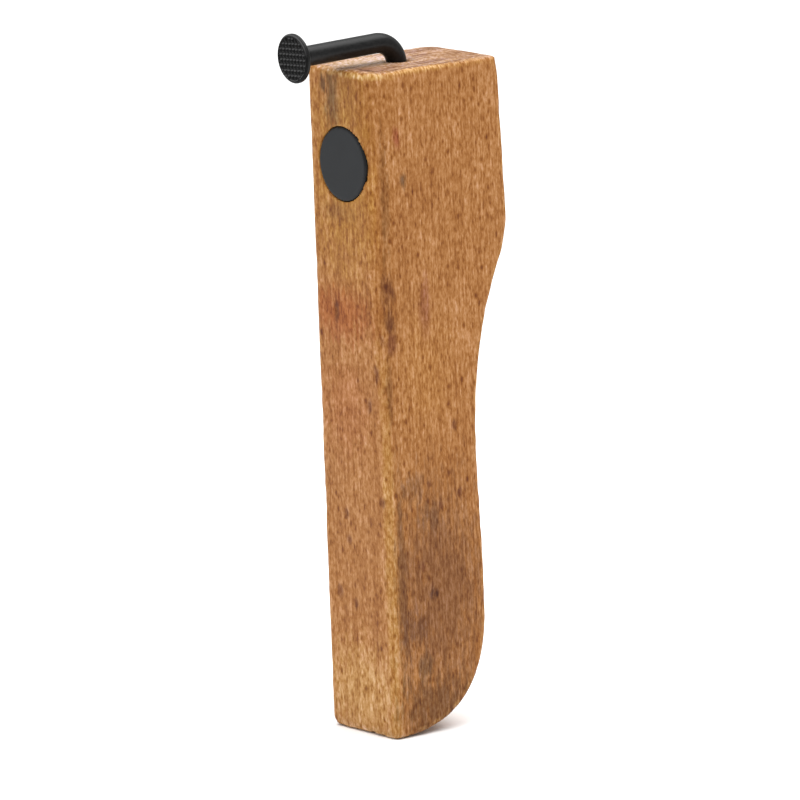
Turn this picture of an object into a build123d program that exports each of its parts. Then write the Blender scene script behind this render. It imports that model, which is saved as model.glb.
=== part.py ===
from build123d import *
import math
import os

# A hand-held bottle opener: a shaped block of beech with a bent nail let into its top end as
# the cap lifter, and a round magnet set in its narrow front face that catches the cap.
# Millimetres. +Z is up along the block, -Y is the front (the side with the magnet and the
# nail's head), X runs across the thickness. While it is being drawn, the front face lies in
# Y = 0 and the foot touches Z = 0. The last lines move all of it to the origin.

# ---- the block --------------------------------------------------------------------------
BODY_HEIGHT = 170.5
BODY_THICKNESS = 27.3
TOP_DEPTH = 40.3
HEAD_DEPTH = 41.6
HEAD_LENGTH = 40.5
SHOULDER_RADIUS = 25.0
WAIST_DEPTH = 29.5
WAIST_DROP = 95.5
SWELL_DEPTH = 30.4
HEEL_HEIGHT = 31.5
HEEL_FULLNESS = 0.68
EDGE_RADIUS = 1.8
END_RADIUS = 1.3
# The front right corner is worn rounder towards the top.
WORN_RADIUS = 8.5
WORN_LENGTH = 95.0
OVERSIZE = 5.0

# ---- the nail ---------------------------------------------------------------------------
NAIL_DIAMETER = 5.2
NAIL_SETBACK = 18.4
NAIL_OFFSET = 0.0
NAIL_RISE = 5.1
NAIL_REACH = 14.5
NAIL_DROOP = 1.5
BEND_RADIUS = 6.3
BURIED_LENGTH = 46.0
POINT_LENGTH = 7.0
POINT_TIP = 0.4
HOLE_GAP = 0.3
HOLE_MOUTH = 0.5

# ---- the nail's head --------------------------------------------------------------------
HEAD_DIAMETER = 12.6
HEAD_THICKNESS = 1.5
HEAD_BEVEL = 0.4
NECK_DIAMETER = 7.2
NECK_LENGTH = 1.6
CHECKER_PITCH = 1.35
CHECKER_DEPTH = 0.38
CHECKER_BORDER = 0.75
CHECKER_TURN = 3.0

# ---- the magnet -------------------------------------------------------------------------
MAGNET_DIAMETER = 19.0
MAGNET_THICKNESS = 5.0
MAGNET_DROP = 24.1
MAGNET_PROUD = 0.05
MAGNET_CHAMFER = 0.3
POCKET_GAP = 0.15
GLUE_THICKNESS = 0.3


def ogee(start, end, first_radius):
    """Two tangent arcs that carry a vertical edge over to another vertical edge."""
    across = end[0] - start[0]
    down = start[1] - end[1]
    turn = 2 * math.atan(abs(across) / down)
    second_radius = down / math.sin(turn) - first_radius
    side = math.copysign(1.0, across)
    middle = (start[0] + side * first_radius * (1 - math.cos(turn)),
              start[1] - first_radius * math.sin(turn))
    first_mid = (start[0] + side * first_radius * (1 - math.cos(turn / 2)),
                 start[1] - first_radius * math.sin(turn / 2))
    second_mid = (end[0] - side * second_radius * (1 - math.cos(turn / 2)),
                  end[1] + second_radius * math.sin(turn / 2))
    return [ThreePointArc(start, first_mid, middle), ThreePointArc(middle, second_mid, end)]


def make_profile():
    """The block's outline from the side: depth along the sketch's X, height along its Y."""
    front_foot = (0, 0)
    front_top = (0, BODY_HEIGHT)
    back_top = (TOP_DEPTH, BODY_HEIGHT)
    shoulder = (HEAD_DEPTH, BODY_HEIGHT - HEAD_LENGTH)
    waist = (WAIST_DEPTH, BODY_HEIGHT - WAIST_DROP)
    swell = (SWELL_DEPTH, HEEL_HEIGHT)
    swell_radius = (waist[1] - swell[1]) ** 2 / (4 * abs(SWELL_DEPTH - WAIST_DEPTH))
    heel = Bezier(
        swell,
        (SWELL_DEPTH, HEEL_HEIGHT * (1 - HEEL_FULLNESS)),
        (SWELL_DEPTH * HEEL_FULLNESS, 0),
        front_foot,
    )
    edges = [
        Line(front_foot, front_top),
        Line(front_top, back_top),
        Line(back_top, shoulder),
        *ogee(shoulder, waist, SHOULDER_RADIUS),
        *ogee(waist, swell, swell_radius),
        heel,
    ]
    return make_face(Wire(edges))


def plan_section(height, right_radius):
    """The block seen from above: round front corners, and plain ones behind its back."""
    half = BODY_THICKNESS / 2
    back = HEAD_DEPTH + OVERSIZE
    left_bend = (-half + EDGE_RADIUS * (1 - math.sqrt(0.5)), EDGE_RADIUS * (1 - math.sqrt(0.5)))
    right_bend = (half - right_radius * (1 - math.sqrt(0.5)), right_radius * (1 - math.sqrt(0.5)))
    edges = [
        Line((-half + EDGE_RADIUS, 0), (half - right_radius, 0)),
        ThreePointArc((half - right_radius, 0), right_bend, (half, right_radius)),
        Line((half, right_radius), (half, back)),
        Line((half, back), (-half, back)),
        Line((-half, back), (-half, EDGE_RADIUS)),
        ThreePointArc((-half, EDGE_RADIUS), left_bend, (-half + EDGE_RADIUS, 0)),
    ]
    return Pos(0, 0, height) * make_face(Wire(edges))


def sharp_edges(solid, least_turn=25.0):
    """The edges where two faces meet at a real corner, left out where they run on smoothly."""
    owners = {}
    for face in solid.faces():
        for edge in face.edges():
            owners.setdefault(edge, []).append(face)
    found = ShapeList()
    for edge, faces in owners.items():
        if len(faces) == 2:
            middle = edge.position_at(0.5)
            normals = [face.normal_at(middle) for face in faces]
            if normals[0].get_angle(normals[1]) > least_turn:
                found.append(edge)
    return found


def make_blank():
    """The shaped block before it is bored: sawn from the side, rounded in plan and eased."""
    side = extrude(Plane.YZ * make_profile(), BODY_THICKNESS, both=True)
    worn_from = BODY_HEIGHT - WORN_LENGTH
    straight = loft([plan_section(-OVERSIZE, EDGE_RADIUS), plan_section(worn_from, EDGE_RADIUS)],
                    ruled=True)
    worn = loft([plan_section(worn_from, EDGE_RADIUS), plan_section(BODY_HEIGHT, WORN_RADIUS)],
                ruled=True)
    blank = side & (straight + worn)
    return fillet(sharp_edges(blank), END_RADIUS)


def make_nail():
    """One round wire nail: buried shank with its point, bend, run, neck and checkered head."""
    radius = NAIL_DIAMETER / 2
    hole_bottom = BODY_HEIGHT - BURIED_LENGTH
    bend_start = BODY_HEIGHT + NAIL_RISE - BEND_RADIUS
    leg = Pos(0, 0, hole_bottom + POINT_LENGTH) * Cylinder(
        radius, bend_start - hole_bottom - POINT_LENGTH, align=(Align.CENTER, Align.CENTER, Align.MIN))
    point = Pos(0, 0, hole_bottom) * Cone(
        POINT_TIP, radius, POINT_LENGTH, align=(Align.CENTER, Align.CENTER, Align.MIN))
    turn = 90.0 + NAIL_DROOP
    bend_axis = Axis((0, -BEND_RADIUS, bend_start), (1, 0, 0))
    bend = revolve(Pos(0, 0, bend_start) * Circle(radius), bend_axis, turn)
    # The run starts where the bend ends, and its own +Z points along it, towards the head.
    angle = math.radians(turn)
    run_start = (0, -BEND_RADIUS * (1 - math.cos(angle)), bend_start + BEND_RADIUS * math.sin(angle))
    run_place = Plane(run_start, x_dir=(1, 0, 0), z_dir=(0, -math.sin(angle), math.cos(angle)))
    face_distance = (NAIL_REACH + NAIL_SETBACK + run_start[1]) / math.sin(angle)
    rim = HEAD_DIAMETER / 2
    outline = Polyline(
        (0, 0),
        (radius, 0),
        (radius, face_distance - HEAD_THICKNESS - NECK_LENGTH),
        (NECK_DIAMETER / 2, face_distance - HEAD_THICKNESS),
        (rim - HEAD_BEVEL, face_distance - HEAD_THICKNESS),
        (rim, face_distance - HEAD_THICKNESS + HEAD_BEVEL),
        (rim, face_distance - HEAD_BEVEL),
        (rim - HEAD_BEVEL, face_distance),
        (0, face_distance),
        close=True,
    )
    run = revolve(Plane.XZ * make_face(outline), Axis.Z)
    run -= Pos(0, 0, face_distance) * make_checkering()
    nail = leg + point + bend + run_place * run
    return Pos(NAIL_OFFSET, NAIL_SETBACK, 0) * nail


def make_checkering():
    """Two crossing rows of V grooves, kept inside a plain round border, in Z = 0 and below."""
    reach = HEAD_DIAMETER / 2 - CHECKER_BORDER
    half_count = int(reach / CHECKER_PITCH)
    groove = Polyline((-CHECKER_DEPTH, 0), (CHECKER_DEPTH, 0), (0, -CHECKER_DEPTH), close=True)
    bar = extrude(Plane.XZ * make_face(groove), reach, both=True)
    rows = [Pos(CHECKER_PITCH * i, 0, 0) * bar for i in range(-half_count, half_count + 1)]
    grid = Compound(rows) + Rot(0, 0, 90) * Compound(rows)
    field = Cylinder(reach, 2 * CHECKER_DEPTH)
    return Rot(0, 0, CHECKER_TURN) * (grid & field)


def make_magnet():
    """The magnet as it lies in its pocket, and the cured adhesive behind it."""
    back = MAGNET_THICKNESS - MAGNET_PROUD
    place = Plane((0, back, BODY_HEIGHT - MAGNET_DROP), x_dir=(1, 0, 0), z_dir=(0, -1, 0))
    disc = Cylinder(MAGNET_DIAMETER / 2, MAGNET_THICKNESS, align=(Align.CENTER, Align.CENTER, Align.MIN))
    rims = disc.edges().filter_by(GeomType.CIRCLE)
    magnet = place * chamfer(rims, MAGNET_CHAMFER)
    pocket_radius = MAGNET_DIAMETER / 2 + POCKET_GAP
    down = (Align.CENTER, Align.CENTER, Align.MAX)
    glue = place * Cylinder(pocket_radius, GLUE_THICKNESS, align=down)
    deep = place * Pos(0, 0, -GLUE_THICKNESS) * Cylinder(
        pocket_radius, back + GLUE_THICKNESS + OVERSIZE, align=(Align.CENTER, Align.CENTER, Align.MIN))
    return magnet, glue, deep


def make_hole():
    """The drilled hole for the nail, with a mouth that is broken out a little wider."""
    hole_radius = NAIL_DIAMETER / 2 + HOLE_GAP
    up = (Align.CENTER, Align.CENTER, Align.MIN)
    shaft = Cylinder(hole_radius, BURIED_LENGTH + OVERSIZE, align=up)
    mouth = Pos(0, 0, BURIED_LENGTH - HOLE_MOUTH) * Cone(
        hole_radius, hole_radius + HOLE_MOUTH, HOLE_MOUTH, align=up)
    filling = Cylinder(hole_radius, BURIED_LENGTH - HOLE_MOUTH, align=up)
    place = Pos(NAIL_OFFSET, NAIL_SETBACK, BODY_HEIGHT - BURIED_LENGTH)
    return place * (shaft + mouth), place * filling


nail = make_nail()
magnet, magnet_glue, pocket = make_magnet()
hole, filling = make_hole()
pieces = {
    "wood_handle": make_blank() - pocket - hole,
    "bent_nail": nail,
    "cap_magnet": magnet,
    "magnet_glue": magnet_glue,
    "nail_glue": filling - nail,
}

# The origin is the middle of the model's box, on the plane that the foot touches.
box = Compound(list(pieces.values())).bounding_box()
to_origin = Pos(-(box.min.X + box.max.X) / 2, -(box.min.Y + box.max.Y) / 2, -box.min.Z)

os.makedirs("parts", exist_ok=True)
for name, piece in pieces.items():
    moved = to_origin * piece
    export_step(moved, f"parts/{name}.step")
    size = moved.bounding_box()
    print(name, "volume", round(moved.volume, 1), "from", tuple(round(v, 2) for v in size.min),
          "to", tuple(round(v, 2) for v in size.max))
print("the front face lies at Y =", round(to_origin.position.Y, 3))
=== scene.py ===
# %% [markdown]
# # A bottle opener made from a block of beech, a bent nail and a magnet
#
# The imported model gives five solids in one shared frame, in metres, with +Z up along the grip.
# The grip's narrow front face looks along -Y and holds the magnet. The nail comes out of the
# top end and reaches over the front. This file dresses those solids. The wood, the nail and the
# magnet get an even mesh with real wear in it, and the two bits of hidden glue stay as they are.
# Every piece gets a material made of nodes, and the whole stands in studio light.

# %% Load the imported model
import math
import bpy
import numpy as np
from mathutils import Matrix, Vector, noise
from mathutils.bvhtree import BVHTree


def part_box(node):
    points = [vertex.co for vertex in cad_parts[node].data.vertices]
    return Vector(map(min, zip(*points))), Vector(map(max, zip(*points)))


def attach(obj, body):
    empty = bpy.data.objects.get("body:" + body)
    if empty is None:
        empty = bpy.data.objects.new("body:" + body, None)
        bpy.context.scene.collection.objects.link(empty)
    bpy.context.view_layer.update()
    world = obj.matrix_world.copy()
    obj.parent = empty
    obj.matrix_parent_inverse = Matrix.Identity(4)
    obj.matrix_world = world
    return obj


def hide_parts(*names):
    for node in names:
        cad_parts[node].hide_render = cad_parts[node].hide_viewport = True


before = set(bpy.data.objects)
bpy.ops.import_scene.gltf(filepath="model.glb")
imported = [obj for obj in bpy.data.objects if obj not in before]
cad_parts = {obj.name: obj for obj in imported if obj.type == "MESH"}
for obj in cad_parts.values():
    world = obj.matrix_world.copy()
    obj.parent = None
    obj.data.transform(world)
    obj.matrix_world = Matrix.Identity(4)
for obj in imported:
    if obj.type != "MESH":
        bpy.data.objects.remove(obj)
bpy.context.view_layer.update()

MM = 0.001
print("nodes:", sorted(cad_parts))

# %% [markdown]
# ## Places to work from
#
# The main places are read from the model's own boxes. The wood's box gives the left side, the
# front, the back and the top. The magnet's box gives the middle of the disc, and the resin round
# the nail's shank fills the drilled hole. Dents, stains and a few patches of painted light and
# shade are listed one by one further down, in millimetres from the middle plane, the front face
# and the foot.

# %% Measure the wood, the magnet and the nail's hole
wood_low, wood_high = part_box("wood_handle")
magnet_low, magnet_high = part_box("cap_magnet")
hole_low, hole_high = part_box("nail_glue")
FRONT_Y = wood_low.y
BACK_Y = wood_high.y
LEFT_X = wood_low.x
TOP_Z = wood_high.z
magnet_middle = (magnet_low + magnet_high) / 2
print("wood, mm:", [round(v / MM, 1) for v in (wood_high - wood_low)])
print("magnet's middle, mm:", [round(v / MM, 1) for v in magnet_middle])

# %% [markdown]
# ## The camera
#
# The opener is seen from far away through a long lens, so its upright edges stay almost
# parallel. The camera stands a little more than halfway round from the front to the right side,
# and about eleven degrees up. It is also rolled by two degrees, which makes the grip lean.
#
# A camera can be aimed with a Track To constraint, but a matrix built from three directions
# also holds the roll, and it can be read: right, up, and back towards the camera.

# %% Place the camera
VIEW_AZIMUTH = math.radians(52.66)
VIEW_ELEVATION = math.radians(10.90)
VIEW_ROLL = math.radians(-2.13)
VIEW_DISTANCE = 2276.7 * MM
LENS_MM = 405.0
SENSOR_MM = 36.0
# The point looked at, measured from the front face and the foot.
aim_from_front = 15.0 * MM
aim_height = 90.0 * MM
aim_right = 0.58 * MM
aim_down = 6.02 * MM

back = Vector((
    math.sin(VIEW_AZIMUTH) * math.cos(VIEW_ELEVATION),
    -math.cos(VIEW_AZIMUTH) * math.cos(VIEW_ELEVATION),
    math.sin(VIEW_ELEVATION),
))
level_right = Vector((math.cos(VIEW_AZIMUTH), math.sin(VIEW_AZIMUTH), 0.0))
level_up = back.cross(level_right)
turn = Matrix.Rotation(VIEW_ROLL, 3, back)
anchor = Vector((0.0, FRONT_Y + aim_from_front, aim_height))
camera_place = anchor + back * VIEW_DISTANCE
aim = anchor + (turn @ level_right) * aim_right - (turn @ level_up) * aim_down
to_camera = (camera_place - aim).normalized()
camera_right = (turn @ level_up).cross(to_camera).normalized()
camera_up = to_camera.cross(camera_right)

camera_data = bpy.data.cameras.new("camera")
camera_data.lens = LENS_MM
camera_data.sensor_width = SENSOR_MM
camera_data.clip_end = 30.0
camera = bpy.data.objects.new("camera", camera_data)
bpy.context.scene.collection.objects.link(camera)
axes = Matrix((camera_right, camera_up, to_camera)).transposed()
camera.matrix_world = Matrix.Translation(camera_place) @ axes.to_4x4()
bpy.context.scene.camera = camera
print("camera at, m:", [round(v, 3) for v in camera_place])

# %% [markdown]
# ## Helpers for materials
#
# A paint colour is usually written as a hex value, which is how a screen stores it. A renderer
# counts light, so the value is turned to linear first. The second helper adds one node to a
# tree. It sets the node's own settings, and fills each input with a number or with a link. The
# last two start a material and give it to a piece.

# %% Colour and node helpers
def linear(hex_text):
    """A colour such as #c08040 as the linear values that the nodes expect."""
    values = [int(hex_text[i:i + 2], 16) / 255 for i in (1, 3, 5)]
    bent = [v / 12.92 if v <= 0.04045 else ((v + 0.055) / 1.055) ** 2.4 for v in values]
    return (*bent, 1.0)


def add(tree, kind, inputs=None, **settings):
    """Add one node; a socket given as an input is linked, anything else is its value."""
    made = tree.nodes.new(kind)
    for name, value in settings.items():
        setattr(made, name, value)
    for key, value in (inputs or {}).items():
        if isinstance(value, bpy.types.NodeSocket):
            tree.links.new(value, made.inputs[key])
        else:
            made.inputs[key].default_value = value
    return made


def new_material(name):
    """An empty node material with its output node."""
    material = bpy.data.materials.new(name)
    material.use_nodes = True
    material.node_tree.nodes.clear()
    return material, material.node_tree, add(material.node_tree, "ShaderNodeOutputMaterial")


def dress(piece, material):
    """Give a piece this one material."""
    piece.data.materials.clear()
    piece.data.materials.append(material)


print("middle grey #808080, linear:", round(linear("#808080")[0], 3))

# %% [markdown]
# ## An even mesh for wear
#
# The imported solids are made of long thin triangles: right for size, but nothing can be worn
# away between two far corners. Wear could be painted with a bump map alone, which never changes
# an outline. Here each visible solid is copied and remeshed into even small squares, so
# that dents, softened edges and chips are real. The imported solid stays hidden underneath.

# %% A helper that copies a solid as an even mesh
def even_copy(node, name, square):
    """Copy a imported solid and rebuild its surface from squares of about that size."""
    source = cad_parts[node]
    piece = bpy.data.objects.new(name, source.data.copy())
    bpy.context.scene.collection.objects.link(piece)
    remesh = piece.modifiers.new("even squares", "REMESH")
    remesh.mode = "VOXEL"
    remesh.voxel_size = square
    remesh.use_smooth_shade = True
    settled = piece.evaluated_get(bpy.context.evaluated_depsgraph_get())
    mesh = bpy.data.meshes.new_from_object(settled)
    piece.modifiers.clear()
    piece.data = mesh
    mesh.shade_smooth()
    print(name, "squares:", len(mesh.polygons))
    return piece

# %% [markdown]
# Wear is worked out for all points at once, as arrays. Four small helpers do it: one reads the
# points, one lets them drift towards their neighbours, one gives smooth noise at each point, and
# one keeps a number for each point, so that a material can read it later.

# %% Helpers that read, move and mark the points
def read_points(mesh):
    """The places and the outward directions of a mesh's points, as arrays."""
    places = np.empty(len(mesh.vertices) * 3)
    mesh.vertices.foreach_get("co", places)
    normals = np.empty(len(mesh.vertices) * 3)
    mesh.vertex_normals.foreach_get("vector", normals)
    return places.reshape(-1, 3), normals.reshape(-1, 3)


def relaxed(mesh, places, rounds):
    """The same points after each has moved to the middle of its neighbours, several times."""
    pairs = np.empty(len(mesh.edges) * 2, dtype=np.int64)
    mesh.edges.foreach_get("vertices", pairs)
    first, second = pairs[0::2], pairs[1::2]
    count = np.bincount(pairs, minlength=len(places)).astype(float)[:, None]
    soft = places.copy()
    for _ in range(rounds):
        total = np.zeros_like(soft)
        for axis in range(3):
            total[:, axis] += np.bincount(first, soft[second, axis], len(soft))
            total[:, axis] += np.bincount(second, soft[first, axis], len(soft))
        soft = total / count
    return soft


def noise_at(places, size, seed):
    """Smooth noise from -1 to 1 at each place, with lumps of about that size in metres."""
    shift = Vector((seed * 3.1, seed * 1.7, seed * 2.3))
    return np.array([noise.noise(Vector(p) / size + shift) for p in places])


def store(mesh, name, values):
    """Keep one number for each point, so that a material can read it by name."""
    attribute = mesh.attributes.new(name, "FLOAT", "POINT")
    attribute.data.foreach_set("value", values.astype(np.float32))
    print(name, "stored for", len(values), "points")


print("noise somewhere, for a look:", round(noise.noise(Vector((0.3, 0.2, 0.1))), 3))

# %% [markdown]
# ## The worn grip
#
# The grip is one block of beech, sawn to its outline, sanded, oiled and then handled for years.
# Its edges are worn unevenly, the back corners of its top end are rounder than the rest, the
# foot's edge is chipped, and there are small dents in its faces.
#
# An edge can be found without knowing the outline. Let every point drift towards its
# neighbours: on a flat face it stays where it was, and on an edge it sinks. How far it sank
# says how sharp the edge is, and mixing some of that drift back in wears the edge down.

# %% Copy the block and find its edges
GRIP_SQUARE = 0.5 * MM
DRIFT_ROUNDS = 24
grip = even_copy("wood_handle", "beech_grip", GRIP_SQUARE)
places, normals = read_points(grip.data)
drifted = relaxed(grip.data, places, DRIFT_ROUNDS)
sunk = np.einsum("ij,ij->i", places - drifted, normals)
EDGE_SINK = 0.30 * MM
edge = np.clip(sunk / EDGE_SINK, 0.0, 1.0)
print("sharpest edge sank, mm:", round(float(sunk.max()) / MM, 2))

# %% [markdown]
# The drift also finds the rims of the magnet's pocket and of the nail's hole, but a drilled rim
# with something sitting in it is never handled, so it stays crisp: it counts as no edge at all.

# %% Keep the drilled rims crisp
pocket_low, pocket_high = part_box("magnet_glue")
POCKET_RADIUS = (pocket_high.x - pocket_low.x) / 2
HOLE_RADIUS = (hole_high.x - hole_low.x) / 2
RIM_GUARD = 2.0 * MM
SNAP = 0.6 * GRIP_SQUARE
from_pocket_x = places[:, 0] - magnet_middle.x
from_pocket_z = places[:, 2] - magnet_middle.z
pocket_reach = np.hypot(from_pocket_x, from_pocket_z)
in_front_layer = places[:, 1] < pocket_high.y + SNAP
pocket_rim = in_front_layer & (np.abs(pocket_reach - POCKET_RADIUS) < RIM_GUARD)
hole_middle = (hole_low + hole_high) / 2
hole_reach = np.hypot(places[:, 0] - hole_middle.x, places[:, 1] - hole_middle.y)
hole_rim = (hole_reach < HOLE_RADIUS + RIM_GUARD) & (places[:, 2] > hole_low.z)
edge[pocket_rim | hole_rim] = 0.0
print("points kept crisp:", int((pocket_rim | hole_rim).sum()))

# %% [markdown]
# Squares can't follow a small circle by themselves: the points near the pocket's wall are moved
# onto its true radius, and those near the front face onto the face, so that they meet in a
# clean rim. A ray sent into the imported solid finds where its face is.

# %% Lay the pocket's rim on its true circle
NO_ZERO = 1e-9  # keeps a division from meeting a zero
JUST_OUTSIDE = 0.05 * MM
on_wall = in_front_layer & (np.abs(pocket_reach - POCKET_RADIUS) < SNAP)
true_radius = np.where(on_wall, POCKET_RADIUS / np.maximum(pocket_reach, NO_ZERO), 1.0)
places[:, 0] = magnet_middle.x + from_pocket_x * true_radius
places[:, 2] = magnet_middle.z + from_pocket_z * true_radius

solid = BVHTree.FromObject(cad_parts["wood_handle"], bpy.context.evaluated_depsgraph_get())
into_the_wood = Vector((0.0, 1.0, 0.0))
on_rim = 0
for index in np.nonzero(pocket_rim)[0]:
    push = max((POCKET_RADIUS + JUST_OUTSIDE) / max(pocket_reach[index], NO_ZERO), 1.0)
    x = magnet_middle.x + from_pocket_x[index] * push
    z = magnet_middle.z + from_pocket_z[index] * push
    hit = solid.ray_cast(Vector((x, FRONT_Y - RIM_GUARD, z)), into_the_wood)[0]
    if hit is not None and abs(places[index, 1] - hit.y) < SNAP:
        places[index, 1] = hit.y
        on_rim += 1
print("points laid on the face round the pocket:", on_rim)
print("points on the pocket's wall:", int(on_wall.sum()))

# %% [markdown]
# Hands don't wear an edge evenly. A coarse and a fine noise say how much of the drift each
# point takes, so some stretches stay almost sharp and others are rubbed round.

# %% Wear the edges unevenly
EVEN_WEAR = 0.10
COARSE_WEAR = 0.35
COARSE_SIZE = 9.0 * MM
FINE_WEAR = 0.25
FINE_SIZE = 3.0 * MM
coarse_noise = noise_at(places, COARSE_SIZE, 1)
fine_noise = noise_at(places, FINE_SIZE, 2)
wear_noise = coarse_noise * COARSE_WEAR + fine_noise * FINE_WEAR
wear_share = np.clip(EVEN_WEAR + wear_noise, 0.0, 1.0) * edge
places += (drifted - places) * wear_share[:, None]
print("most of the drift taken:", round(float(wear_share.max()), 2))

# %% [markdown]
# Towards the top end the two back corners are far rounder than the drift could make them. A
# bevel would give the whole corner one radius. Here the radius grows with height, and every
# point that lies outside the round is pulled onto it.

# %% Round the back corners of the top end
BACK_DRAWN_IN = 1.3 * MM  # the back face's top stands this far in from its fullest point
TOP_BACK_Y = BACK_Y - BACK_DRAWN_IN
CORNER_PLAIN = 1.8 * MM
CORNER_GROWTH = 1.5  # above 1, most of the rounding comes near the top
CORNERS = (
    # side, radius at the top, length
    (-1.0, 7.0 * MM, 32.0 * MM),
    (1.0, 2.8 * MM, 12.0 * MM),
)
half_thickness = -LEFT_X
for side, worn_radius, length in CORNERS:
    rise = np.clip((places[:, 2] - (TOP_Z - length)) / length, 0.0, 1.0)
    radius = CORNER_PLAIN + (worn_radius - CORNER_PLAIN) * rise ** CORNER_GROWTH
    back_line = TOP_BACK_Y + BACK_DRAWN_IN * (1.0 - rise)
    from_x = places[:, 0] * side - (half_thickness - radius)
    from_y = places[:, 1] - (back_line - radius)
    reach = np.hypot(from_x, from_y)
    outside = (rise > 0) & (from_x > 0) & (from_y > 0) & (reach > radius)
    pull = np.where(outside, radius / np.maximum(reach, NO_ZERO), 1.0)
    places[:, 0] += from_x * (pull - 1.0) * side
    places[:, 1] += from_y * (pull - 1.0)
    print("points moved on the worn corner:", int(outside.sum()))

# %% [markdown]
# The dents are listed one by one: where each lies across the block and behind its front face,
# how high it is, how wide and how deep. They are pressed in along the surface's own direction,
# and each is longer along the grain than across it.

# %% Press the dents
DENT_SHAPE = (1.0, 1.0, 0.65)
DENTS = (
    # x, distance behind the front face, height, radius, depth, all in mm
    (13.65, 13.7, 35.8, 1.1, 0.50),
    (13.65, 8.6, 142.3, 0.9, 0.25),
    (13.65, 22.8, 60.3, 0.8, 0.35),
    (13.65, 17.0, 57.8, 0.8, 0.30),
    (13.65, 13.7, 64.1, 0.7, 0.25),
    (13.65, 10.9, 42.9, 0.8, 0.30),
    (13.65, 22.1, 78.1, 0.8, 0.35),
    (7.3, 0.0, 85.6, 0.8, 0.35),
    (10.7, 0.0, 93.9, 0.7, 0.35),
    (12.8, 0.0, 102.3, 0.8, 0.35),
    (-4.9, 0.0, 108.5, 0.7, 0.30),
    (-3.9, 0.0, 56.3, 0.8, 0.30),
    (-3.1, 0.0, 49.7, 0.7, 0.25),
    (-7.6, 0.0, 35.9, 0.8, 0.30),
    (11.5, 0.0, 61.0, 0.8, 0.30),
    (9.0, 0.0, 3.0, 1.1, 0.60),
)
for x, behind, height, width, depth in DENTS:
    middle = np.array((x * MM, FRONT_Y + behind * MM, height * MM))
    apart = np.linalg.norm((places - middle) * DENT_SHAPE, axis=1)
    bite = np.exp(-(apart / (width * MM)) ** 2) * depth * MM
    places -= normals * bite[:, None]
print("dents pressed:", len(DENTS))

# %% [markdown]
# The foot's front edge is chipped by a noise that only bites close to that edge, and only where
# it is well above zero, so that sound wood is left between the chips. Last comes a very shallow
# wave on every face, because hand sanding never leaves one flat.

# %% Chip the foot and hand over the grip
CHIP_HEIGHT = 1.6 * MM
CHIP_INWARD = 2.0 * CHIP_HEIGHT
CHIP_SIZE = 1.8 * MM
CHIP_DEPTH = 0.9 * MM
CHIP_START = 0.2
near_foot = np.exp(-(places[:, 2] / CHIP_HEIGHT) ** 2)
near_front = np.exp(-((places[:, 1] - FRONT_Y) / CHIP_INWARD) ** 2)
chip_noise = np.clip(noise_at(places, CHIP_SIZE, 5) - CHIP_START, 0.0, 1.0)
chip = near_foot * near_front * chip_noise * CHIP_DEPTH
places -= normals * chip[:, None]
print("deepest chip, mm:", round(float(chip.max()) / MM, 2))

WAVE_DEPTH = 0.05 * MM
WAVE_SIZE = 14.0 * MM
places -= normals * (WAVE_DEPTH * (1.0 + noise_at(places, WAVE_SIZE, 7)) / 2)[:, None]
grip.data.vertices.foreach_set("co", places.ravel())
grip.data.update()
store(grip.data, "edge_wear", edge)
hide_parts("wood_handle")
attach(grip, "root")

# %% [markdown]
# ## The nail
#
# A wire nail is drawn, and its head is struck in a die that leaves crossing grooves in the
# face. Nothing on it is sharp: the die rounds every edge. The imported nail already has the
# grooves, so an even copy with a little drift mixed in is enough to soften them.

# %% Copy the nail and soften it
NAIL_SQUARE = 0.14 * MM
NAIL_ROUNDS = 1
NAIL_SOFTENING = 0.6
DRAW_MARK_DEPTH = 0.012 * MM
DRAW_MARK_SIZE = 1.1 * MM
nail = even_copy("bent_nail", "wire_nail", NAIL_SQUARE)
nail_places, nail_normals = read_points(nail.data)
nail_soft = relaxed(nail.data, nail_places, NAIL_ROUNDS)
nail_places += (nail_soft - nail_places) * NAIL_SOFTENING
draw_marks = DRAW_MARK_DEPTH * noise_at(nail_places, DRAW_MARK_SIZE, 9)
nail_places += nail_normals * draw_marks[:, None]
print("highest drawing mark, mm:", round(float(draw_marks.max()) / MM, 3))
nail.data.vertices.foreach_set("co", nail_places.ravel())
nail.data.update()
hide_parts("bent_nail")
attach(nail, "root")

# %% [markdown]
# ## The magnet
#
# A ferrite magnet is pressed from powder, fired like a pot and ground flat on its two faces. It
# is dull grey-black, and its brittle rim always has small chips. They are cut as the foot's were:
# by a noise that only bites near the rim.

# %% Copy the magnet and chip its rim
MAGNET_SQUARE = 0.2 * MM
DISC_ROUNDS = 3
DISC_SOFTENING = 0.7
RIM_BAND = 0.5 * MM
RIM_CHIP_SIZE = 1.2 * MM
RIM_CHIP_DEPTH = 0.35 * MM
RIM_CHIP_START = 0.15
magnet = even_copy("cap_magnet", "ferrite_magnet", MAGNET_SQUARE)
disc_places, disc_normals = read_points(magnet.data)
disc_soft = relaxed(magnet.data, disc_places, DISC_ROUNDS)
disc_places += (disc_soft - disc_places) * DISC_SOFTENING
from_middle = np.hypot(disc_places[:, 0] - magnet_middle.x, disc_places[:, 2] - magnet_middle.z)
rim_radius = (magnet_high.x - magnet_low.x) / 2
at_rim = np.exp(-((rim_radius - from_middle) / RIM_BAND) ** 2)
rim_noise = np.clip(noise_at(disc_places, RIM_CHIP_SIZE, 11) - RIM_CHIP_START, 0.0, 1.0)
rim_chip = at_rim * rim_noise * RIM_CHIP_DEPTH
disc_places -= disc_normals * rim_chip[:, None]
print("deepest rim chip, mm:", round(float(rim_chip.max()) / MM, 2))
magnet.data.vertices.foreach_set("co", disc_places.ravel())
magnet.data.update()
store(magnet.data, "rim", at_rim)
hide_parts("cap_magnet")
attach(magnet, "root")
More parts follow.
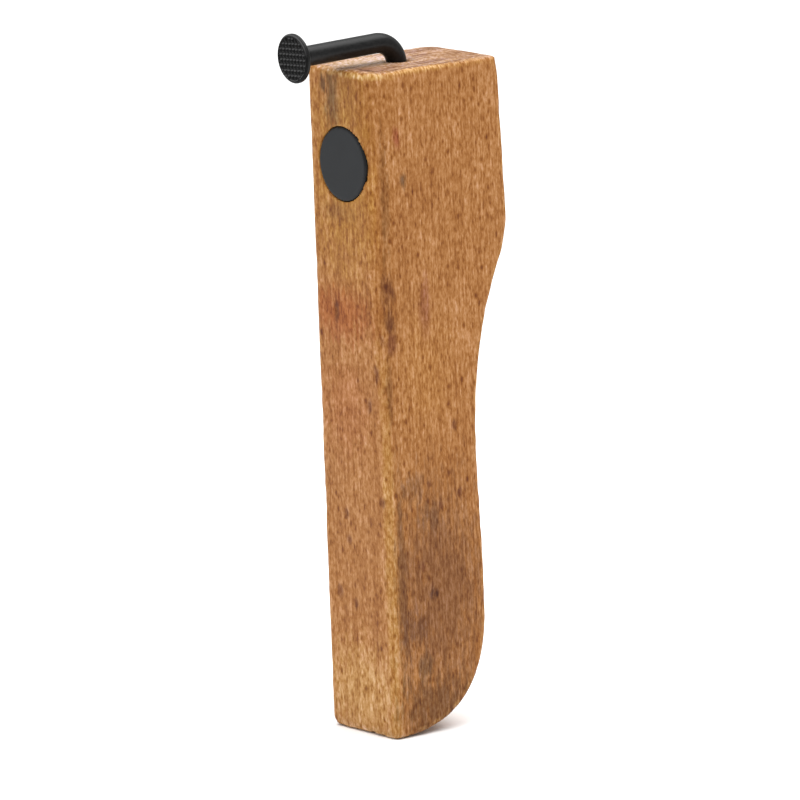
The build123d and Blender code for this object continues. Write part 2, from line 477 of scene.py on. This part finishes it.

# %% [markdown]
# ## Oiled beech
#
# Beech is pale reddish brown with no strong figure. What the eye knows it by are its rays:
# thin sheets that a cut face shows as short dark dashes, about a third of a millimetre wide and
# two to four long, all lying along the grain. Oil and hands turn it golden brown, and dirt
# collects in blotches and on the corners.
#
# It could be one long noise, but then every change of colour would have the same shape. Here it
# is built as the wood is: first the slow colours of oil, stains and wear, with a few patches of
# painted light and shade among the stains, then the fine grain multiplied over them, so that a
# stain never hides the grain. The grain runs along Z, so each pattern is a solid noise whose
# space is squeezed along Z. Each scale is one over a real size, and the same pattern then runs
# right round every edge.

# %% Beech: the base colour and its slow changes
beech, tree, beech_out = new_material("oiled beech")
place = add(tree, "ShaderNodeTexCoord").outputs["Object"]


def per_patch(across_x, across_y, along):
    """The scale that fits a pattern to patches of that size in millimetres."""
    return 1 / (across_x * MM), 1 / (across_y * MM), 1 / (along * MM)


SIDE_BEECH = linear("#a26e3c")
print("beech base colour, linear:", [round(channel, 3) for channel in SIDE_BEECH[:3]])

# %% [markdown]
# The top is end grain. It is cut across the fibres, so it shows the growth rings instead: thin
# lines that run from front to back. It drinks more oil and scatters light, and looks pinker.

# %% Beech: end grain on the top
normal = add(tree, "ShaderNodeNewGeometry").outputs["Normal"]
facing_up = add(tree, "ShaderNodeSeparateXYZ", {"Vector": normal}).outputs["Z"]
RING_SPACING_MM = 0.9
RING_LENGTH_MM = 11.0
end_mask = add(tree, "ShaderNodeMapRange", {
    "Value": facing_up, "From Min": 0.70, "From Max": 0.97, "To Min": 0.0, "To Max": 1.0,
}).outputs["Result"]
ring_space = add(tree, "ShaderNodeMapping", {
    "Vector": place, "Location": (3.0, 3.0, 3.0),
    "Scale": per_patch(RING_SPACING_MM, RING_LENGTH_MM, RING_LENGTH_MM),
}).outputs["Vector"]
rings = add(tree, "ShaderNodeTexNoise", {
    "Vector": ring_space, "Scale": 1.0, "Detail": 4.0, "Roughness": 0.7,
}).outputs["Fac"]
end_colour = add(tree, "ShaderNodeValToRGB", {"Fac": rings})
end_colour.color_ramp.elements[0].position = 0.38
end_colour.color_ramp.elements[0].color = linear("#6b432c")
end_colour.color_ramp.elements[1].position = 0.60
end_colour.color_ramp.elements[1].color = linear("#b08d72")
base = add(tree, "ShaderNodeMix", {
    "Factor": end_mask, "A": SIDE_BEECH, "B": end_colour.outputs["Color"],
}, data_type="RGBA").outputs["Result"]
print("growth rings every", RING_SPACING_MM, "mm")

# %% [markdown]
# Stains don't repeat, so each has its own place. A stain is a soft ball stretched to its own
# size, its distance field roughened by noise so that its rim frays along the grain. A few entries
# in the list are painted light and shade laid the same way, and each says so beside it. The list
# gives them in millimetres, measured from the middle plane, the front face and the foot.

# %% Beech: where the stains and the painted light and shade are
STAINS_AND_PAINTED_LIGHT = (
    # name, x, behind the front, height, size x, size y, size z, colour, strength
    ("golden upper front", 0.0, 0.0, 145.0, 17.0, 3.0, 40.0, "#9a681f", 0.75),
    ("red heart on the front", -4.0, 0.0, 108.0, 18.0, 4.0, 9.0, "#8c4410", 0.70),
    ("pink middle of the front", -2.0, 0.0, 84.0, 13.0, 3.0, 16.0, "#a1613a", 0.35),
    # painted light: the front is painted paler towards the foot
    ("painted light on the lower front", 0.0, 0.0, 10.0, 19.0, 6.0, 17.0, "#b68a52", 0.85),
    ("grey mark over the magnet", -3.4, 0.0, 164.0, 3.6, 2.0, 12.0, "#664a2c", 0.75),
    ("grey mark under the magnet", -3.0, 0.0, 134.0, 8.0, 1.5, 3.4, "#70451f", 0.45),
    ("dark line beside the corner", 13.4, 2.7, 142.0, 1.8, 1.7, 26.0, "#6e4214", 0.80),
    ("golden line at the corner", 12.4, 1.0, 142.0, 2.0, 1.2, 26.0, "#b07a33", 0.50),
    ("dark patch on the corner, high", 13.6, 2.2, 115.5, 2.2, 2.6, 5.0, "#5e2c06", 0.90),
    ("dark patch on the corner, middle", 13.6, 2.8, 107.0, 1.8, 2.0, 4.4, "#5e2f0a", 0.85),
    ("dark patch on the corner, low", 13.6, 3.1, 101.5, 1.8, 2.0, 3.6, "#6a3416", 0.80),
    ("dirt drawn down the corner", 13.6, 2.0, 90.0, 1.4, 1.2, 12.0, "#6e4018", 0.70),
    ("worn yellow corner", 13.0, 0.8, 42.0, 2.2, 2.6, 44.0, "#bd9054", 0.50),
    ("brown strip behind the corner", 13.65, 3.8, 40.0, 1.2, 2.0, 36.0, "#4f2f14", 0.55),
    ("red fleck on the side, high", 13.65, 7.0, 153.5, 1.5, 1.4, 3.4, "#8a4426", 0.80),
    ("grey spot on the side, high", 13.65, 8.6, 142.3, 1.5, 1.1, 2.4, "#5c4028", 0.80),
    ("red streak on the side", 13.65, 14.0, 109.0, 1.5, 2.4, 10.0, "#8a5238", 0.80),
    ("golden side", 13.65, 14.0, 94.0, 4.0, 10.0, 18.0, "#a8743a", 0.50),
    # the side is mixed darker over its lower part
    ("darkening on the lower side", 13.65, 16.0, 36.0, 4.0, 17.0, 36.0, "#704628", 0.70),
    ("purple patch, high", 13.65, 8.5, 64.0, 1.5, 4.0, 4.6, "#50301c", 0.45),
    ("purple patch, middle", 13.65, 13.5, 56.0, 1.5, 4.6, 4.4, "#50321e", 0.40),
    ("purple patch, low", 13.65, 7.0, 27.0, 1.5, 5.0, 5.5, "#4c2c20", 0.45),
    ("grey patch, low", 13.65, 10.0, 17.0, 1.5, 3.4, 5.0, "#453422", 0.45),
    # painted shade: the side is painted darker just above the foot
    ("painted shade on the side at the foot", 13.65, 14.0, 6.0, 3.0, 16.0, 11.0, "#603c1e", 0.70),
    ("splintered foot, left", -3.0, 0.3, 0.4, 10.0, 2.2, 1.9, "#cda580", 0.80),
    ("splintered foot, right", 8.0, 0.5, 0.5, 7.0, 2.8, 2.0, "#d2b08a", 0.85),
    ("grey line on the left edge", -13.65, 0.2, 74.0, 1.0, 1.3, 24.0, "#5e5040", 0.80),
    # worn bare wood and a painted highlight: a pale band along the rounded top edge, brightest at
    # the corner
    ("cream lip and painted highlight, left", -2.0, 0.3, 169.5, 4.0, 1.5, 0.9, "#bd9560", 0.50),
    ("cream lip and painted highlight, front", 5.5, 0.5, 169.3, 5.5, 1.5, 0.9, "#cda76c", 0.75),
    ("cream lip and painted highlight, corner", 10.8, 2.8, 169.3, 3.2, 3.2, 1.0, "#d2ac72", 0.80),
    ("cream lip and painted highlight, side", 13.2, 15.0, 170.0, 1.4, 14.0, 0.8, "#c3985e", 0.70),
    # painted shade: a dark ring round the nail's hole, where the gap lies in shadow
    ("painted shade round the nail's hole", 0.0, 19.0, 170.4, 3.9, 4.5, 1.2, "#241308", 0.90),
    ("brown top behind the lip", 3.0, 5.0, 170.5, 9.0, 4.5, 1.5, "#7d5034", 0.55),
    ("brown line behind the lip, right", 7.5, 3.4, 170.4, 5.0, 1.2, 0.7, "#4e2812", 0.85),
    ("brown line behind the corner", 11.9, 7.5, 170.4, 1.1, 4.0, 0.7, "#5a3016", 0.75),
    ("fleck beside the top corner", -6.8, 0.0, 166.3, 1.7, 1.7, 3.4, "#5a3a1c", 0.85),
    ("dark flecks on the front", -4.9, 0.0, 108.5, 1.3, 1.4, 4.5, "#643208", 0.90),
    ("pit on the corner", 12.8, 0.5, 102.3, 1.4, 1.4, 2.1, "#6a3814", 0.90),
    ("pit beside the corner", 10.7, 0.0, 93.9, 1.3, 1.4, 2.8, "#6a3814", 0.90),
    ("small pit on the corner", 13.5, 0.6, 90.0, 1.1, 1.1, 1.7, "#6a3814", 0.90),
    ("pit on the front", 7.3, 0.0, 85.6, 1.3, 1.4, 2.7, "#6a3814", 0.90),
    ("pit low on the front", -3.9, 0.0, 56.3, 1.3, 1.4, 2.0, "#6a3814", 0.85),
    ("pit beside the worn corner", 11.5, 0.0, 61.0, 1.4, 1.4, 2.0, "#6a3814", 0.85),
    ("small pit low on the front", -3.1, 0.0, 49.7, 1.1, 1.4, 1.5, "#6a3814", 0.85),
    ("pit near the left edge", -7.6, 0.0, 35.9, 1.4, 1.4, 2.0, "#6a3814", 0.85),
    ("pit near the foot", -0.8, 0.0, 33.3, 1.1, 1.4, 2.0, "#6a3814", 0.85),
    ("deep pit on the side", 13.65, 13.7, 35.8, 1.4, 1.7, 2.0, "#4a2410", 0.95),
    ("pit above the darkening", 13.65, 22.1, 78.1, 1.4, 1.1, 1.8, "#6a3814", 0.90),
    ("pit in the darkening", 13.65, 17.0, 57.8, 1.4, 1.1, 1.5, "#6a3814", 0.85),
    ("pit at the back", 13.65, 22.8, 60.3, 1.4, 1.1, 1.7, "#6a3814", 0.90),
    ("small pit in the darkening", 13.65, 13.7, 64.1, 1.4, 1.0, 1.3, "#6a3814", 0.85),
    ("pit in the low side", 13.65, 10.9, 42.9, 1.4, 1.1, 1.5, "#6a3814", 0.85),
    # painted light: the top is painted paler where the nail's shadow falls
    ("painted light on the top under the nail", -5.0, 12.0, 170.5, 9.0, 15.0, 1.5, "#c6ac98", 0.80),
    ("golden back of the top", 3.0, 33.0, 170.5, 12.0, 9.0, 1.5, "#98704a", 0.60),
)
print("stains and painted light listed:", len(STAINS_AND_PAINTED_LIGHT))

# %% [markdown]
# One noise frays all of them. It is added to the distance from each stain's middle, so that the
# colour is full where the sum is low and gone where it is high. They are mixed over each other
# in the order of the list.

# %% Beech: lay the stains and the painted light and shade
FRAY_STRENGTH = 2.0
STAIN_FULL = 1.20
STAIN_GONE = 2.15
fray_space = add(tree, "ShaderNodeMapping", {
    "Vector": place, "Location": (8.0, 8.0, 8.0), "Scale": per_patch(1.1, 1.1, 4.5),
}).outputs["Vector"]
fray = add(tree, "ShaderNodeTexNoise", {
    "Vector": fray_space, "Scale": 1.0, "Detail": 4.0, "Roughness": 0.65,
}).outputs["Fac"]
stained_with_painted_light = base
for label, x, behind, height, size_x, size_y, size_z, colour, strength in STAINS_AND_PAINTED_LIGHT:
    from_stain = add(tree, "ShaderNodeVectorMath", {
        0: place, 1: (x * MM, FRONT_Y + behind * MM, height * MM),
    }, operation="SUBTRACT").outputs["Vector"]
    scaled = add(tree, "ShaderNodeVectorMath", {
        0: from_stain, 1: (1 / (size_x * MM), 1 / (size_y * MM), 1 / (size_z * MM)),
    }, operation="MULTIPLY").outputs["Vector"]
    distance = add(tree, "ShaderNodeVectorMath", {0: scaled}, operation="LENGTH").outputs["Value"]
    frayed = add(tree, "ShaderNodeMath", {
        0: fray, 1: FRAY_STRENGTH, 2: distance,
    }, operation="MULTIPLY_ADD").outputs[0]
    amount = add(tree, "ShaderNodeMapRange", {
        "Value": frayed, "From Min": STAIN_FULL, "From Max": STAIN_GONE,
        "To Min": strength, "To Max": 0.0,
    }, interpolation_type="SMOOTHSTEP").outputs["Result"]
    stained_with_painted_light = add(tree, "ShaderNodeMix", {
        "Factor": amount, "A": stained_with_painted_light, "B": linear(colour),
    }, data_type="RGBA", label=label).outputs["Result"]
print("beech nodes so far:", len(tree.nodes))

# %% [markdown]
# Where an edge has lost its oil and colour, the bare wood shows through paler and yellower. The
# points already know how sharp their edge is, and noise breaks that up into patches.

# %% Beech: pale worn edges
MOST_WORN = 0.55
worn = add(tree, "ShaderNodeAttribute", attribute_name="edge_wear").outputs["Fac"]
patch_space = add(tree, "ShaderNodeMapping", {
    "Vector": place, "Location": (5.0, 5.0, 5.0), "Scale": per_patch(2.7, 2.7, 5.0),
}).outputs["Vector"]
patchy = add(tree, "ShaderNodeTexNoise", {
    "Vector": patch_space, "Scale": 1.0, "Detail": 4.0, "Roughness": 0.7,
}).outputs["Fac"]
worn_patchy = add(tree, "ShaderNodeMath", {0: worn, 1: patchy}, operation="MULTIPLY").outputs[0]
worn_amount = add(tree, "ShaderNodeMapRange", {
    "Value": worn_patchy, "From Min": 0.38, "From Max": 0.68,
    "To Min": 0.0, "To Max": MOST_WORN,
}).outputs["Result"]
worn_colour = add(tree, "ShaderNodeMix", {
    "Factor": worn_amount, "A": stained_with_painted_light, "B": linear("#b4874b"),
}, data_type="RGBA").outputs["Result"]
print("bare wood shows by at most", MOST_WORN)

# %% [markdown]
# Everything finer is grain, and grain changes only how light the wood is. Its layers are long
# streaks from the growth rings, blotches, soft mottling and short fibres. A real fibre is too
# thin to show in the render, so the fibres are drawn about 0.7 mm wide, as coarse as they need
# to show. The layers are multiplied together into one lightness.

# %% Beech: blotches, streaks, mottling and fibres
GRAIN = (
    # name, across x, across y, along, detail, darkest, palest
    ("blotches", 8.0, 8.0, 15.0, 3.0, 0.85, 1.15),
    ("streaks", 0.85, 0.62, 24.0, 2.0, 0.66, 1.28),
    ("mottling", 2.9, 1.6, 4.0, 2.0, 0.84, 1.13),
    ("fibres", 0.88, 0.60, 1.6, 3.0, 0.40, 1.48),
)
DARKEST_NOISE = 0.28
PALEST_NOISE = 0.72
patterns = {}
lightness = 1.0
for index, (name, across_x, across_y, along, detail, darkest, palest) in enumerate(GRAIN):
    shift = 2.0 * index
    space = add(tree, "ShaderNodeMapping", {
        "Vector": place, "Location": (shift, shift, shift),
        "Scale": per_patch(across_x, across_y, along),
    }).outputs["Vector"]
    patterns[name] = add(tree, "ShaderNodeTexNoise", {
        "Vector": space, "Scale": 1.0, "Detail": detail, "Roughness": 0.6,
    }).outputs["Fac"]
    layer = add(tree, "ShaderNodeMapRange", {
        "Value": patterns[name], "From Min": DARKEST_NOISE, "From Max": PALEST_NOISE,
        "To Min": darkest, "To Max": palest,
    }, label=name).outputs["Result"]
    lightness = add(tree, "ShaderNodeMath", {
        0: lightness, 1: layer,
    }, operation="MULTIPLY").outputs[0]
    print(name, "multiply the lightness by", darkest, "to", palest)

# %% [markdown]
# Rays and pits are separate things, not a smooth change, so they come from cells: each cell
# holds one point, and only the part of the cell near its point is changed. Pits are rounder
# than rays, darker and rarer. The rays are drawn about half a millimetre wide, which is wider
# than real ones, but as coarse as they need to show.

# %% Beech: rays and pits
MARKS = (
    # name, across, along, inner and outer share of the cell, lightness
    ("dark rays", 1.15, 3.2, 0.10, 0.34, 0.55),
    ("pale rays", 1.25, 3.6, 0.10, 0.34, 1.08),
    ("pits", 3.6, 6.0, 0.07, 0.20, 0.40),
)
for index, (name, across, along, inner, outer, mark_lightness) in enumerate(MARKS):
    shift = 4.0 * index + 1.0
    space = add(tree, "ShaderNodeMapping", {
        "Vector": place, "Location": (shift, shift, shift),
        "Scale": per_patch(across, across, along),
    }).outputs["Vector"]
    cell = add(tree, "ShaderNodeTexVoronoi", {
        "Vector": space, "Scale": 1.0, "Randomness": 1.0,
    }, feature="F1").outputs["Distance"]
    patterns[name] = add(tree, "ShaderNodeMapRange", {
        "Value": cell, "From Min": inner, "From Max": outer,
        "To Min": mark_lightness, "To Max": 1.0,
    }, label=name).outputs["Result"]
    lightness = add(tree, "ShaderNodeMath", {
        0: lightness, 1: patterns[name],
    }, operation="MULTIPLY").outputs[0]
    print(name, "every", across, "mm across and", along, "mm along")

# %% [markdown]
# Darker wood is also deeper in colour: red light is barely lost in it and blue is lost first.
# So each channel takes the lightness to its own power, and a dark fibre turns to warm brown
# and a pale one to straw, instead of both going towards grey.

# %% Beech: colour of the grain
CHANNEL_POWERS = (0.66, 1.04, 2.1)
shades = [
    add(tree, "ShaderNodeMath", {0: lightness, 1: power}, operation="POWER").outputs[0]
    for power in CHANNEL_POWERS
]
shade = add(tree, "ShaderNodeCombineXYZ", dict(enumerate(shades))).outputs["Vector"]
grained = add(tree, "ShaderNodeVectorMath", {
    0: worn_colour, 1: shade,
}, operation="MULTIPLY").outputs["Vector"]
print("half as light becomes", [round(0.5 ** power, 2) for power in CHANNEL_POWERS])

# %% [markdown]
# Oiled wood isn't glossy: most of the oil sinks in, and the fibres scatter what light is left.
# The roughness follows the slow blotches, where the wood drank more or less of the oil. Fibres
# and dark rays also give it a fine relief, as open pores do.

# %% Beech: surface
fibre_height = add(tree, "ShaderNodeMath", {
    0: patterns["fibres"], 1: patterns["dark rays"],
}, operation="ADD").outputs[0]
PORE_DEPTH = 0.05 * MM
grain_bump = add(tree, "ShaderNodeBump", {
    "Height": fibre_height, "Distance": PORE_DEPTH, "Strength": 0.6,
}).outputs["Normal"]
gloss = add(tree, "ShaderNodeMapRange", {
    "Value": patterns["blotches"], "From Min": DARKEST_NOISE, "From Max": PALEST_NOISE,
    "To Min": 0.52, "To Max": 0.66,
}).outputs["Result"]
beech_surface = add(tree, "ShaderNodeBsdfPrincipled", {
    "Base Color": grained, "Roughness": gloss, "Normal": grain_bump,
    "IOR": 1.45, "Specular IOR Level": 0.28,
})
tree.links.new(beech_surface.outputs["BSDF"], beech_out.inputs["Surface"])
dress(grip, beech)
print("beech nodes:", len(tree.nodes))

# %% [markdown]
# ## Black oxide steel
#
# The nail is blackened by hot oxide salts and dulled with wax: a thin black skin on steel. It
# keeps a soft satin shine, with the drawing marks of the wire showing as faint lumps. The skin
# isn't bare metal any more, so a dark dielectric with a broad highlight looks more like it than
# a dark mirror does.

# %% Black oxide: skin
oxide, tree, oxide_out = new_material("black oxide steel")
place = add(tree, "ShaderNodeTexCoord").outputs["Object"]
MOTTLE_SIZE = 0.7 * MM
mottle = add(tree, "ShaderNodeTexNoise", {
    "Vector": place, "Scale": 1 / MOTTLE_SIZE, "Detail": 4.0, "Roughness": 0.6,
}).outputs["Fac"]
skin_colour = add(tree, "ShaderNodeValToRGB", {"Fac": mottle})
skin_colour.color_ramp.elements[0].position = 0.35
skin_colour.color_ramp.elements[0].color = linear("#0c0c0c")
skin_colour.color_ramp.elements[1].position = 0.70
skin_colour.color_ramp.elements[1].color = linear("#191919")
print("skin mottled every", MOTTLE_SIZE / MM, "mm")

# %% [markdown]
# The head's face has grooves struck into it. Its flat lands are painted near-black, a painted
# shade, and the flanks that look upwards are painted grey, a painted highlight as if lit from
# above. Which is which is read from the normal: a land looks straight to the front, and a flank
# leans up.

# %% Black oxide: struck face
oxide_normal = add(tree, "ShaderNodeNewGeometry").outputs["Normal"]
facing = add(tree, "ShaderNodeSeparateXYZ", {"Vector": oxide_normal}).outputs
land = add(tree, "ShaderNodeMapRange", {
    "Value": facing["Y"], "From Min": -0.85, "From Max": -0.97, "To Min": 0.0, "To Max": 1.0,
}).outputs["Result"]
frontward = add(tree, "ShaderNodeMapRange", {
    "Value": facing["Y"], "From Min": -0.55, "From Max": -0.75, "To Min": 0.0, "To Max": 1.0,
}).outputs["Result"]
upward = add(tree, "ShaderNodeMapRange", {
    "Value": facing["Z"], "From Min": 0.06, "From Max": 0.36, "To Min": 0.0, "To Max": 1.0,
}).outputs["Result"]
# painted highlight: the flanks that look upwards on the head are painted grey
painted_flank_highlight = add(tree, "ShaderNodeMath", {0: upward, 1: frontward}, operation="MULTIPLY").outputs[0]
# painted shade: the lands facing the front are painted near-black
painted_land_shade_colour = add(tree, "ShaderNodeMix", {
    "Factor": land, "A": skin_colour.outputs["Color"], "B": linear("#020202"),
}, data_type="RGBA").outputs["Result"]
oxide_colour = add(tree, "ShaderNodeMix", {
    "Factor": painted_flank_highlight, "A": painted_land_shade_colour, "B": linear("#464646"),
}, data_type="RGBA").outputs["Result"]
oxide_gloss = add(tree, "ShaderNodeMapRange", {
    "Value": mottle, "From Min": 0.3, "From Max": 0.7, "To Min": 0.30, "To Max": 0.42,
}).outputs["Result"]
SKIN_BUMP = 0.02 * MM
oxide_bump = add(tree, "ShaderNodeBump", {
    "Height": mottle, "Distance": SKIN_BUMP, "Strength": 0.5,
}).outputs["Normal"]
oxide_surface = add(tree, "ShaderNodeBsdfPrincipled", {
    "Base Color": oxide_colour, "Roughness": oxide_gloss,
    "Normal": oxide_bump, "Specular IOR Level": 0.22,
})
tree.links.new(oxide_surface.outputs["BSDF"], oxide_out.inputs["Surface"])
dress(nail, oxide)
print("oxide nodes:", len(tree.nodes))

# %% [markdown]
# The struck face is rougher than drawn wire, and shines less. How strongly a surface shines is
# one number for a whole material, so the face gets a second material: a copy of the first with
# that number lowered, given only to the faces that look out of the head.

# %% Black oxide: dull the struck face
DULL_SHINE = 0.06
STRUCK_DEPTH = 1.0 * MM
struck = oxide.copy()
struck.name = "black oxide steel, struck face"
for node in struck.node_tree.nodes:
    if node.bl_idname == "ShaderNodeBsdfPrincipled":
        node.inputs["Specular IOR Level"].default_value = DULL_SHINE
nail.data.materials.append(struck)
FORWARD = -0.3
head_front = nail_places[:, 1].min()
struck_count = 0
for face in nail.data.polygons:
    if face.center.y < head_front + STRUCK_DEPTH and face.normal.y < FORWARD:
        face.material_index = 1
        struck_count += 1
print("faces on the struck face:", struck_count)

# %% [markdown]
# ## Ground ferrite
#
# Ferrite is a ceramic, so it isn't metallic: a flat charcoal grey with a fine matt grain. Its
# chipped rim is painted darker all round: painted shade at the edge where the disc meets its
# pocket. The real grit is a few hundredths of a millimetre across. It is drawn at a quarter of a
# millimetre, as coarse as it needs to show.

# %% Ferrite material
ferrite, tree, ferrite_out = new_material("ground ferrite")
place = add(tree, "ShaderNodeTexCoord").outputs["Object"]
GRIT_SIZE = 0.25 * MM
GRIT_DEPTH = 0.01 * MM
grit = add(tree, "ShaderNodeTexNoise", {
    "Vector": place, "Scale": 1 / GRIT_SIZE, "Detail": 2.0, "Roughness": 0.5,
}).outputs["Fac"]
SMEAR_SIZE = 6.0 * MM
smear = add(tree, "ShaderNodeTexNoise", {
    "Vector": place, "Scale": 1 / SMEAR_SIZE, "Detail": 3.0, "Roughness": 0.6,
}).outputs["Fac"]
face_colour = add(tree, "ShaderNodeMix", {
    "Factor": smear, "A": linear("#17191b"), "B": linear("#1f2124"),
}, data_type="RGBA").outputs["Result"]
rim = add(tree, "ShaderNodeAttribute", attribute_name="rim").outputs["Fac"]
# painted shade: the rim is mixed towards near-black
ferrite_colour = add(tree, "ShaderNodeMix", {
    "Factor": rim, "A": face_colour, "B": linear("#101011"),
}, data_type="RGBA").outputs["Result"]
ferrite_bump = add(tree, "ShaderNodeBump", {
    "Height": grit, "Distance": GRIT_DEPTH, "Strength": 0.4,
}).outputs["Normal"]
ferrite_surface = add(tree, "ShaderNodeBsdfPrincipled", {
    "Base Color": ferrite_colour, "Roughness": 0.5, "Normal": ferrite_bump,
    "Specular IOR Level": 0.2,
})
tree.links.new(ferrite_surface.outputs["BSDF"], ferrite_out.inputs["Surface"])
dress(magnet, ferrite)
print("ferrite grit, mm:", GRIT_SIZE / MM, "smears, mm:", round(SMEAR_SIZE / MM, 1))

# %% [markdown]
# ## Cured adhesive
#
# The glue behind the magnet can't be seen, and the glue round the nail shows only as a dark
# ring deep in the hole's mouth. It is a tough amber resin, dark where dust has stuck to it.

# %% Adhesive material
resin, tree, resin_out = new_material("cured resin")
place = add(tree, "ShaderNodeTexCoord").outputs["Object"]
DUST_SIZE = 0.8 * MM
dust = add(tree, "ShaderNodeTexNoise", {
    "Vector": place, "Scale": 1 / DUST_SIZE, "Detail": 3.0,
}).outputs["Fac"]
resin_colour = add(tree, "ShaderNodeMix", {
    "Factor": dust, "A": linear("#1f160d"), "B": linear("#3b2a18"),
}, data_type="RGBA").outputs["Result"]
resin_surface = add(tree, "ShaderNodeBsdfPrincipled", {
    "Base Color": resin_colour, "Roughness": 0.6,
})
tree.links.new(resin_surface.outputs["BSDF"], resin_out.inputs["Surface"])
for glue_node in ("magnet_glue", "nail_glue"):
    dress(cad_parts[glue_node], resin)
    print(glue_node, "wears", resin.name)

# %% [markdown]
# ## Floor and light
#
# The opener stands on a plain white sweep that is lit a little brighter than it can show, so
# that it loses its own edge. It is one large flat square, and isn't part of the object.

# %% Floor
FLOOR_HALF = 8.0
floor_mesh = bpy.data.meshes.new("floor")
floor_corners = [(-FLOOR_HALF, -FLOOR_HALF, 0), (FLOOR_HALF, -FLOOR_HALF, 0),
                 (FLOOR_HALF, FLOOR_HALF, 0), (-FLOOR_HALF, FLOOR_HALF, 0)]
floor_mesh.from_pydata(floor_corners, [], [(0, 1, 2, 3)])
floor = bpy.data.objects.new("floor", floor_mesh)
bpy.context.scene.collection.objects.link(floor)
paper, tree, paper_out = new_material("white paper sweep")
paper_surface = add(tree, "ShaderNodeBsdfPrincipled", {
    "Base Color": linear("#f4f4f4"), "Roughness": 1.0, "Specular IOR Level": 0.0,
})
tree.links.new(paper_surface.outputs["BSDF"], paper_out.inputs["Surface"])
dress(floor, paper)
print("floor, m across:", 2 * FLOOR_HALF)

# %% [markdown]
# Light comes from one big soft box above, one from the front left, and an even sky. A soft box
# is an area lamp: the larger it is, the softer its shadow.

# %% Soft boxes and sky
def soft_box(name, place, target, width, height, watts):
    """An area lamp at a place, turned to face a target."""
    data = bpy.data.lights.new(name, "AREA")
    data.shape = "RECTANGLE"
    data.size = width
    data.size_y = height
    data.energy = watts
    lamp = bpy.data.objects.new(name, data)
    lamp.location = place
    lamp.rotation_euler = (Vector(target) - Vector(place)).to_track_quat("-Z", "Y").to_euler()
    bpy.context.scene.collection.objects.link(lamp)
    print(name, "watts:", watts)


object_middle = (0.0, 0.0, 0.09)
soft_box("overhead box", (0.1, 0.1, 1.6), object_middle, 2.4, 2.4, 57.0)
soft_box("front left box", (-0.9, -1.5, 0.6), object_middle, 0.9, 1.2, 4.4)
SKY_STRENGTH = 0.56
world = bpy.data.worlds.new("sky")
world.use_nodes = True
world.node_tree.nodes["Background"].inputs["Color"].default_value = (1.0, 1.0, 1.0, 1.0)
world.node_tree.nodes["Background"].inputs["Strength"].default_value = SKY_STRENGTH
bpy.context.scene.world = world
bpy.context.scene.view_settings.view_transform = "Standard"
